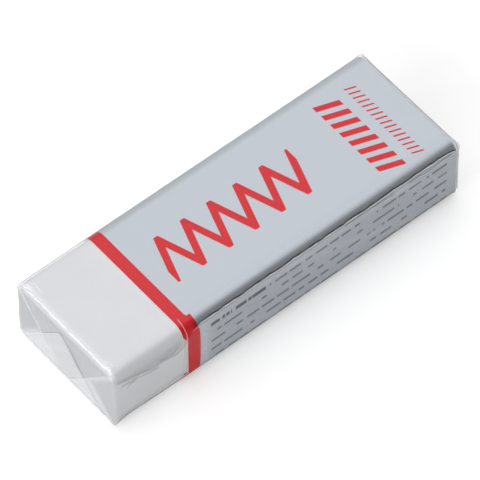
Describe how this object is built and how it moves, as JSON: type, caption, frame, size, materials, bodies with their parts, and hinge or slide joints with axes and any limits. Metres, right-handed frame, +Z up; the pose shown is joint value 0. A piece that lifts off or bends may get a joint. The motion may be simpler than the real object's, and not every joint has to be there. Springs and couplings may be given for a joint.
{
  "type": "vinyl eraser",
  "caption": "Block of white vinyl for rubbing out pencil, in a printed card sleeve with a band at its front edge, sealed in clear film with envelope-folded ends.",
  "frame": {"origin": "Bottom centre of the wrapped eraser's box, on the surface that it lies on.", "axes": "X runs along the eraser, with its bare end at the low side. Z is up, through its thickness. Y runs across, and the side with the sleeve's glued panel and the film's seam faces the low side."},
  "size_m": [0.065, 0.0228, 0.0128],
  "materials": {
    "vinyl": "matte",
    "printed_card": "satin",
    "clear_film": "gloss"
  },
  "bodies": {
    "root": {"eraser_block": "vinyl", "card_sleeve": "printed_card", "film_wrap": "clear_film"}
  },
  "joints": []
}
